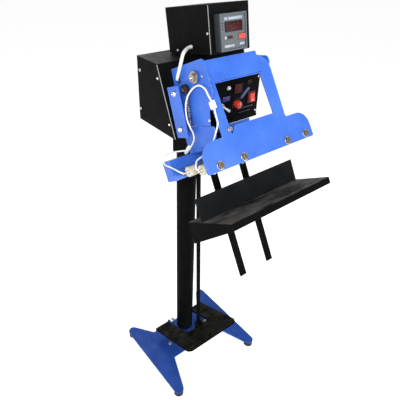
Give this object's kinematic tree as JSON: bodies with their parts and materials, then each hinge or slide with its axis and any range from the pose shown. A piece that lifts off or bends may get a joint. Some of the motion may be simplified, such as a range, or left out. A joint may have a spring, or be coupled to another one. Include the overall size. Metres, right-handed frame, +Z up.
{
  "type": "foot pedal heat sealer",
  "caption": "Pedestal bag sealer: a foot pedal pulls a rod that swings a hinged front heating jaw against a fixed rear jaw, with a sliding bag tray and a temperature controller.",
  "frame": {"origin": "middle of the machine's footprint, on the floor under the rubber feet", "axes": "+Z up the column, -Y towards the operator and the sealing jaws, +X to the operator's right"},
  "size_m": [0.47, 0.6442, 1.564],
  "materials": {
    "blue_paint": "glossy blue paint on steel",
    "black_paint": "satin black powder coat, dusty",
    "black_plastic": "matt black plastic",
    "grey_plastic": "dark grey plastic",
    "red_plastic": "glossy orange-red plastic",
    "white_plastic": "white plastic",
    "rubber": "black rubber",
    "zinc_steel": "yellowish zinc-plated steel",
    "steel": "plain steel",
    "aluminium": "milled aluminium",
    "ceramic": "cream ceramic, matt",
    "lead_insulation": "white glass-fibre sleeving"
  },
  "bodies": {
    "stand": {"base_crossbar": "blue_paint", "case_bracket": "black_paint", "column": "black_paint", "column_head_bracket": "black_paint", "column_socket": "blue_paint", "control_box": "black_paint", "control_panel": "black_paint", "controller_case": "black_paint", "crank_pin": "zinc_steel", "foot_plate_left": "blue_paint", "foot_plate_right": "blue_paint", "front_lead": "lead_insulation", "guide_bar_left": "black_paint", "guide_bar_right": "black_paint", "left_cheek": "blue_paint", "pedal_pivot_left": "blue_paint", "pedal_pivot_right": "blue_paint", "rear_heater_bar": "aluminium", "rear_jaw_beam": "blue_paint", "rear_jaw_carrier": "steel", "rear_lead": "lead_insulation", "rear_plate": "blue_paint", "rear_terminal": "ceramic", "return_spring": "steel", "right_pivot_bracket": "blue_paint", "rubber_foot_front_left": "rubber", "rubber_foot_front_right": "rubber", "rubber_foot_rear_left": "rubber", "rubber_foot_rear_right": "rubber", "side_channel": "blue_paint", "socket_clamp_screw": "zinc_steel", "spring_anchor": "zinc_steel", "supply_cable": "lead_insulation", "temperature_controller": "grey_plastic", "transformer": "steel"},
    "front_jaw": {"jaw_frame": "blue_paint", "cross_member": "blue_paint", "jaw_sleeve": "blue_paint", "front_jaw_channel": "blue_paint", "front_heater_bar": "aluminium", "front_terminal": "ceramic", "pivot_shaft": "zinc_steel", "pivot_nut": "zinc_steel", "spring_lever": "blue_paint", "spring_knob": "black_plastic", "link_lug": "blue_paint"},
    "crank": {"bell_crank": "steel"},
    "rod": {"pull_rod": "black_paint"},
    "link": {"draw_link": "steel"},
    "pedal": {"pedal_plate": "black_paint", "pedal_clevis": "black_paint", "clevis_pin": "zinc_steel"},
    "tray": {"tray_shelf": "black_paint", "tray_back_plate": "black_paint", "tray_clamp": "black_paint"},
    "rocker": {"rocker_switch": "red_plastic"},
    "knob": {"timer_knob": "red_plastic"},
    "toggle": {"toggle_lever": "white_plastic"},
    "button": {"controller_button": "red_plastic"}
  },
  "joints": [
    {"name": "front_jaw_hinge", "type": "hinge", "parent": "stand", "child": "front_jaw", "pos_m": [0, -0.0564, 1.395], "axis": [1, 0, 0], "range_deg": [0, 5.5], "stiffness_Nm_per_rad": 120, "springref_deg": -11.46, "deforming": ["return_spring", "front_lead"]},
    {"name": "crank_hinge", "type": "hinge", "parent": "stand", "child": "crank", "pos_m": [0, 0.0386, 1.125], "axis": [1, 0, 0], "range_deg": [-31.6, 0]},
    {"name": "rod_hinge", "type": "hinge", "parent": "crank", "child": "rod", "pos_m": [0, 0.0916, 1.12], "axis": [1, 0, 0], "range_deg": [0, 31.6]},
    {"name": "link_hinge", "type": "hinge", "parent": "crank", "child": "link", "pos_m": [0, 0.0306, 1.16], "axis": [1, 0, 0], "range_deg": [0, 34.2]},
    {"name": "pedal_hinge", "type": "hinge", "parent": "stand", "child": "pedal", "pos_m": [0, 0.1986, 0.082], "axis": [1, 0, 0], "range_deg": [0, 10.2]},
    {"name": "tray_slide", "type": "slide", "parent": "stand", "child": "tray", "axis": [0, -0.5, -0.866], "range_m": [-0.035, 0.2]},
    {"name": "rocker_hinge", "type": "hinge", "parent": "stand", "child": "rocker", "pos_m": [0.135, -0.0097, 1.269], "axis": [1, 0, 0], "range_deg": [0, 14]},
    {"name": "knob_hinge", "type": "hinge", "parent": "stand", "child": "knob", "pos_m": [0.072, -0.0067, 1.258], "axis": [0, -1, 0], "range_deg": [0, 270]},
    {"name": "toggle_hinge", "type": "hinge", "parent": "stand", "child": "toggle", "pos_m": [0.011, -0.0117, 1.262], "axis": [1, 0, 0], "range_deg": [-49, 0]},
    {"name": "button_slide", "type": "slide", "parent": "stand", "child": "button", "axis": [0, 0.9829, -0.1839], "range_m": [0, 0.0015], "stiffness_N_per_m": 400, "springref_m": -0.001}
  ],
  "couplings": [
    {"joint": "crank_hinge", "follows": "front_jaw_hinge", "ratio": -5.706},
    {"joint": "rod_hinge", "follows": "front_jaw_hinge", "ratio": 5.646},
    {"joint": "link_hinge", "follows": "front_jaw_hinge", "ratio": 6.206},
    {"joint": "pedal_hinge", "follows": "front_jaw_hinge", "ratio": 1.84}
  ]
}
